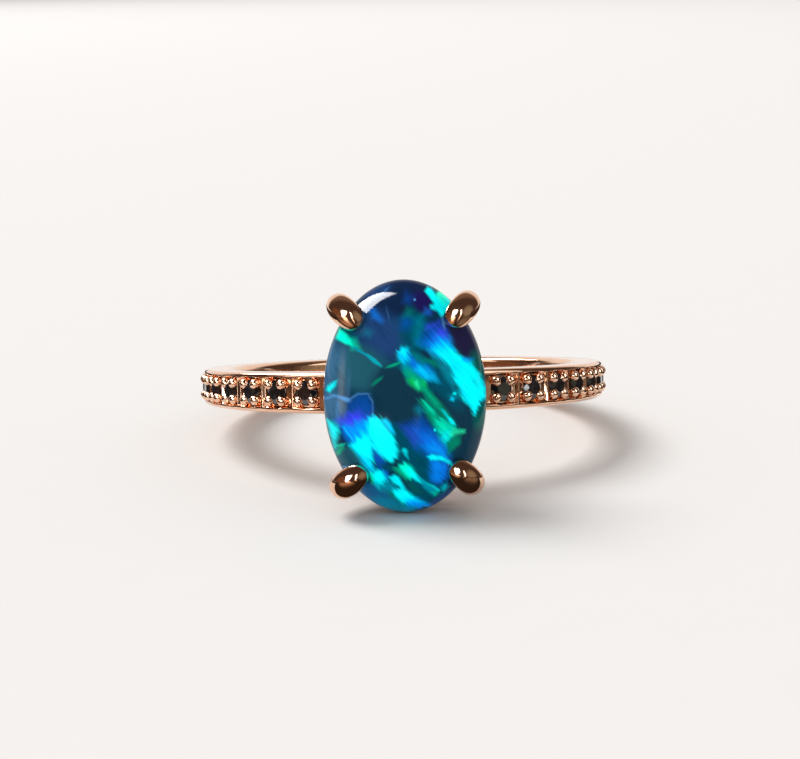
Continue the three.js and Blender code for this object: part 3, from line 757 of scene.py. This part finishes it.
def makeOpalFire():
    look = opalLook
    # painted light: the opal gives off its own colours as a glow, so the flashes stay bright under any light
    made, shader, place = newMaterial(
        "black_opal_fire", Roughness=0.4, Specular_IOR_Level=0.0,
        Coat_Weight=1.0, Coat_Roughness=0.08, Coat_IOR=1.16, Emission_Strength=look["paintedGlow"])
    stone = ringPlace @ headPlace
    centre = tuple(stone.translation / mm)
    standing = stone.to_3x3().normalized()
    facing = standing @ Matrix.Rotation(rad(look["faceTurn"]), 3, "X")
    facing = facing @ Matrix.Rotation(rad(look["roll"]), 3, "Z")
    upright = place.mapped(centre, tuple(standing.to_euler()))
    depth = upright.node("ShaderNodeSeparateXYZ", {}, {0: upright}, "Z")       # over the girdle
    face = place.mapped(centre, tuple(facing.to_euler()))
    flow = face.mapped(turn=(0, 0, rad(look["flow"])))
    pushed = face.vector("SUBTRACT", face.noise(*look["drift"], "Color"), (noiseMiddle,) * 3)
    face = face.vector("MULTIPLY_ADD", pushed, (look["wander"],) * 3, face)
    still = face.vector("MULTIPLY_ADD", face, (1, 1, 0), (0, 0, 1))            # right, up, 1

    def grain(name):
        length, width, detail, rough = look[name]
        return flow.mapped(size=(length, width, 1)).noise(1.0, detail, rough)

    fibre = grain("fibre") - noiseMiddle
    strand = grain("strand") - noiseMiddle
    along = Vector((math.cos(rad(look["flow"])), math.sin(rad(look["flow"])), 0)) * look["comb"]
    combed = face.vector("MULTIPLY_ADD", strand, tuple(along), still)          # pushed strand by strand

    def blobs(colour, rows):
        for name, right, up, length, width, turn, soft, strength in rows:
            reach = 1 + soft                         # where it has faded out
            size = (length * reach, width * reach, look["deep"])
            spot = face.mapped((right, up, 0), (0, 0, rad(turn)), size)
            near = spot.node("ShaderNodeTexGradient", {"gradient_type": "SPHERICAL"}, {"Vector": spot}, "Fac")
            colour = colour.mix(fireColour(name), near.ranged(0, 2 * soft / reach, 0, strength))
        return colour

    def facets(colour, rows):
        for name, soft, fray, strength, *corners in rows:
            plane = combed if fray > look["combedFrom"] else still
            sides = list(zip(corners, corners[1:] + corners[:1]))
            around = sum(a[0] * b[1] - b[0] * a[1] for a, b in sides)
            outward = 1 if around > 0 else -1        # corners run either way round
            far = None
            for start, end in sides:
                side = Vector((end[1] - start[1], start[0] - end[0])).normalized() * outward
                edge = plane.vector("DOT_PRODUCT", plane, (side.x, side.y, -side.dot(Vector(start))))
                far = edge if far is None else far.sum("MAXIMUM", far, edge)
            far = far + fibre * fray
            blur = soft * look["soften"]
            colour = colour.mix(fireColour(name), far.ranged(blur, -blur, 0, strength))
        return colour

    base = face.noise(look["base"]).ranged(*look["baseRange"])
    colour = face.blend(fireColour("navy"), fireColour("darkTeal"), base)
    colour = blobs(colour, ground)
    colour = facets(colour, flashes)
    light = colour.node("ShaderNodeRGBToBW", {}, {"Color": colour}).ranged(*look["lightRange"])
    fine = grain("fine").ranged(*look["fineRange"], 0, look["streak"]) * light
    wide = grain("wide").ranged(*look["wideRange"], 0, look["shimmer"])
    colour = colour.blend(colour, look["streakTint"], fine, blend_type="MULTIPLY")
    colour = colour.mix(fireColour("night"), wide)
    colour = blobs(colour, veins)
    potch = face.blend(fireColour("potch"), fireColour("night"), upright.noise(*look["potch"]))
    ragged = depth + (upright.noise(*look["border"]) - noiseMiddle) * look["ragged"]
    colour = colour.mix(potch, ragged.ranged(*look["colourBar"]))              # dull stone under the colour
    colour.feeds(shader, "Base Color")
    # painted glow: the same colours are given off as light, as though the stone were a lamp
    colour.feeds(shader, "Emission Color")
    return made


roseGold = makeRoseGold()
blackDiamond = makeBlackDiamond()
opalFire = makeOpalFire()
for piece in metal:
    piece.data.materials.clear()
    piece.data.materials.append(roseGold)
opalStone.data.materials.clear()
opalStone.data.materials.append(opalFire)
for stone in smallStones:
    stone.material_slots[0].material = blackDiamond
print("materials set")

# floor, light and camera, from here on in metres
floorLook = {
    "pale": (0.82, 0.795, 0.775, 1), "shade": (0.805, 0.782, 0.764, 1), "mottle": (0.35, 4.0), "size": 8.0,
}


def makeFloor():
    fresh()
    bpy.ops.mesh.primitive_plane_add(size=floorLook["size"])
    floor = bpy.context.object
    floor.name = "floor"
    made, shader, place = newMaterial("floor_paper", Roughness=0.9, Specular_IOR_Level=0.0)
    tone = place.blend(floorLook["pale"], floorLook["shade"], place.noise(*floorLook["mottle"]))
    tone.feeds(shader, "Base Color")
    floor.data.materials.append(made)


studio = {
    "soft": (0.60, 0.595, 0.59, 1),                  # what lights floor and stones
    "dim": (0.068, 0.045, 0.036, 1),                 # what the polish shows, with the walls on it
    # each row: colour, then the directions it lies in and the closeness to them that it fades in over
    "walls": (
        ((0.20, 0.15, 0.115, 1), ((0, 0.8, 0.6), 0.45, 0.9)),                  # a loft at the back
        ((0.92, 0.90, 0.88, 1), ((0, 1, 0), 0.5, 0.75), ((0, 0, 1), 0.8, 0.5)),        # bright under it
        ((0.26, 0.225, 0.165, 1), ((0.75, -0.65, 0.1), 0.80, 0.98)),           # tan on the right
        ((0.17, 0.075, 0.04, 1), ((-0.90, -0.42, 0.0), 0.84, 0.95)),           # rust on the left
    ),
}
keyBox = {"towards": (-0.50, 0.28, 0.82), "far": 3.0, "width": 1.7, "height": 1.5, "bright": 8.0}


def toward(turn, lift):              # a direction, turned to the right of the viewer and lifted, in degrees
    flat = math.cos(rad(lift))
    return Vector((math.sin(rad(turn)) * flat, -math.cos(rad(turn)) * flat, math.sin(rad(lift))))


def makeLight():
    world = bpy.data.worlds.new("studio")
    bpy.context.scene.world = world
    world.use_nodes = True
    world.cycles.sampling_method = "NONE"            # the sky differs by ray, so it is not sampled as a lamp
    tree = world.node_tree
    way = Wire(tree, tree.nodes.new("ShaderNodeTexCoord").outputs["Generated"])
    sky = studio["dim"]
    for colour, *places in studio["walls"]:
        shares = [way.vector("DOT_PRODUCT", way, tuple(Vector(direction).normalized())).ranged(low, high)
                  for direction, low, high in places]
        sky = way.blend(sky, colour, math.prod(shares[1:], start=shares[0]))
    polish = way.node("ShaderNodeLightPath", {}, {}, "Is Glossy Ray")
    way.blend(studio["soft"], sky, polish).feeds(tree.nodes["Background"], "Color")
    data = bpy.data.lights.new("key_box", "AREA")
    data.shape = "RECTANGLE"
    data.size, data.size_y = keyBox["width"], keyBox["height"]
    data.energy = keyBox["bright"] * math.pi * keyBox["width"] * keyBox["height"]
    box = bpy.data.objects.new("key_box", data)
    bpy.context.collection.objects.link(box)
    direction = Vector(keyBox["towards"]).normalized()
    box.location = ringCentre + direction * keyBox["far"]
    box.rotation_euler = direction.to_track_quat("Z", "Y").to_euler()
    box.visible_camera = False
    box.visible_glossy = False


# bright panes that show in the polish of some pieces only, corners as (right, up) over the distance
paneGlow = (1, 1, 0.98, 1)
skyShape = {
    "towards": (-0.471, 0.30, 0.821), "right": (0.88, 0.15, 0.45),
    "corners": ((-0.34, -0.40), (0.39, -0.40), (-0.34, 0.511)),
}
tallShape = ((-0.24, -0.40), (0.24, -0.40), (0.24, 0.40), (-0.24, 0.40))
leftShape = {"towards": toward(-62, 36), "right": (0.47, -0.88, 0), "corners": tallShape}
rightShape = {"towards": toward(62, 38), "right": (0.47, 0.88, 0), "corners": tallShape}
panes = {                            # far is from the ring, no two alike in one place
    "skylight": {**skyShape, "far": 2.0, "bright": 100.0, "shownBy": (opalStone,)},
    "skylight_on_gold": {**skyShape, "far": 2.2, "bright": 14.0, "shownBy": (shank, paveBeads)},
    "left_pane": {**leftShape, "far": 2.0, "bright": 2.4, "shownBy": (paveBeads,)},
    "left_pane_on_band": {**leftShape, "far": 2.2, "bright": 1.05, "shownBy": (shank,)},
    "right_pane": {**rightShape, "far": 2.0, "bright": 4.5, "shownBy": (paveBeads,)},
    "right_pane_on_band": {**rightShape, "far": 2.2, "bright": 1.05, "shownBy": (shank,)},
    "main_window": {
        "towards": toward(-25, 15), "right": (0.9, -0.42, 0), "far": 2.0, "bright": 7.0,
        "corners": ((-0.20, -0.28), (-0.05, -0.30), (0.20, 0.0), (0.24, 0.30), (-0.26, 0.28)),
        "shownBy": metal,
    },
    "thin_window": {
        "towards": toward(11, 14), "right": (0.98, 0.19, 0), "far": 2.0, "bright": 4.0,
        "corners": ((-0.02, -0.26), (0.03, -0.26), (0.08, -0.1), (0.05, 0.25), (-0.06, 0.24)),
        "shownBy": metal + smallStones,
    },
}


def onlyInPolish(piece):
    for kind in ("camera", "diffuse", "shadow", "transmission", "volume_scatter"):
        setattr(piece, "visible_" + kind, False)


def makePane(name):
    pane = panes[name]
    out = Vector(pane["towards"]).normalized()
    right = Vector(pane["right"])
    right = (right - out * right.dot(out)).normalized()
    fresh()
    bpy.ops.mesh.primitive_circle_add(vertices=len(pane["corners"]), radius=1, fill_type="NGON")
    piece = bpy.context.object
    piece.name = name
    for corner, (across, high) in zip(piece.data.vertices, pane["corners"]):
        corner.co = ringCentre + (out + right * across + out.cross(right) * high) * pane["far"]
    made, _, place = newMaterial(name + "_glow")
    direct = 1 - place.node("ShaderNodeLightPath", {}, {}, "Diffuse Depth").ranged(0, 1)     # not by way of the floor
    glow = place.node("ShaderNodeEmission", {}, {"Color": paneGlow, "Strength": direct * pane["bright"]})
    clear = place.node("ShaderNodeBsdfTransparent", {}, {})
    both = place.node("ShaderNodeAddShader", {}, {0: glow, 1: clear})
    both.feeds(made.node_tree.nodes["Material Output"], "Surface")
    piece.data.materials.append(made)
    shown = bpy.data.collections.new(name + "_shows_on")
    for other in pane["shownBy"]:
        shown.objects.link(other)
    piece.light_linking.receiver_collection = shown
    onlyInPolish(piece)


flag = {                             # in millimetres
    "near": -11.5, "wide": 16.0, "back": 60.0, "reach": 2500.0, "lift": 0.1, "weld": 0.00001,
    "brown": (0.034, 0.022, 0.015, 1), "mottle": 0.05, "darker": 0.7,
    "from": (0, -12.3, 0), "fade": (10, 60), "beamEdge": (1.25, 0.6),
    # light lying on it, each row: turn to the right, half width over distance, fades in from, to, out from, to, colour
    "beams": (
        (-40, 0.65, 3, 8, 10, 30, (0.40, 0.23, 0.14, 1)),
        (55, 0.55, 3, 8, 10, 30, (0.20, 0.15, 0.11, 1)),
        (-55, 0.30, 12, 60, 2000, 2500, (0.25, 0.14, 0.08, 1)),
        (49, 0.36, 12, 60, 2000, 2500, (0.26, 0.225, 0.165, 1)),
        (-26, 0.20, 5, 40, 2000, 2500, (2.2, 1.7, 1.3, 1)),
        (11, 0.055, 5, 40, 2000, 2500, (1.6, 1.3, 1.0, 1)),
    ),
}


def makeFlag():                      # a dark card round three sides of the ring, seen only in its polish
    sheets = (                       # left, right, front and back edges
        (-flag["reach"], flag["reach"], -flag["reach"], flag["near"]),
        (-flag["reach"], -flag["wide"], flag["near"], flag["back"]),
        (flag["wide"], flag["reach"], flag["near"], flag["back"]),
    )
    parts = []
    for left, right, front, back in sheets:
        fresh()
        bpy.ops.mesh.primitive_plane_add(size=1)
        part = bpy.context.object
        part.scale = ((right - left) * mm, (back - front) * mm, 1)
        part.location = ((left + right) / 2 * mm, (front + back) / 2 * mm, flag["lift"] * mm)
        settle()
        parts.append(part)
    piece = joined(parts, "dark_card")
    tidyMesh(flag["weld"])
    made, shader, place = newMaterial("card_brown", Roughness=1.0, Specular_IOR_Level=0.0, Emission_Strength=1.0)
    shader.inputs["Base Color"].default_value = (0, 0, 0, 1)
    dark = tuple(c * flag["darker"] for c in flag["brown"])
    tone = place.blend(flag["brown"], dark, place.noise(flag["mottle"]))
    spread = place.mapped(flag["from"])
    tone = tone.mix(studio["dim"], spread.vector("LENGTH", spread).ranged(*flag["fade"]))
    soft, full = flag["beamEdge"]
    for turn, width, near, clear, fading, gone, colour in flag["beams"]:
        out = toward(turn, 0)
        deep = spread.vector("DOT_PRODUCT", spread, (out.x, out.y, 0))
        across = (spread.vector("DOT_PRODUCT", spread, (-out.y, out.x, 0)) / deep).size()
        lit = across.ranged(width * soft, width * full) * deep.ranged(near, clear) * deep.ranged(gone, fading)
        tone = tone.mix(colour, lit)
    tone.feeds(shader, "Emission Color")
    piece.data.materials.append(made)
    onlyInPolish(piece)


camera = {                           # distance and aim in millimetres
    "lens": 75.48, "sensor": 36, "clip": (0.005, 50), "distance": 84.5,
    "lift": 2.94, "yaw": -0.3, "roll": -1.19, "aimRight": -0.157, "aimUp": 0.08,
}


def makeCamera():
    data = bpy.data.cameras.new("camera")
    data.lens = camera["lens"]
    data.sensor_width = camera["sensor"]
    data.clip_start, data.clip_end = camera["clip"]
    made = bpy.data.objects.new("camera", data)
    bpy.context.collection.objects.link(made)
    back = toward(camera["yaw"], math.degrees(lean + rad(camera["lift"])))
    made.location = ringCentre + back * camera["distance"] * mm
    right = Vector((0, 0, 1)).cross(back).normalized()
    up = back.cross(right)
    aim = ringCentre + (right * camera["aimRight"] + up * camera["aimUp"]) * mm
    turn = (aim - made.location).to_track_quat("-Z", "Y")
    made.rotation_euler = (turn @ Quaternion((0, 0, 1), rad(camera["roll"]))).to_euler()
    bpy.context.scene.camera = made


makeFloor()
makeLight()
for name in panes:
    makePane(name)
makeFlag()
makeCamera()
bpy.context.scene.view_settings.view_transform = "Standard"
print("floor, light and camera set")
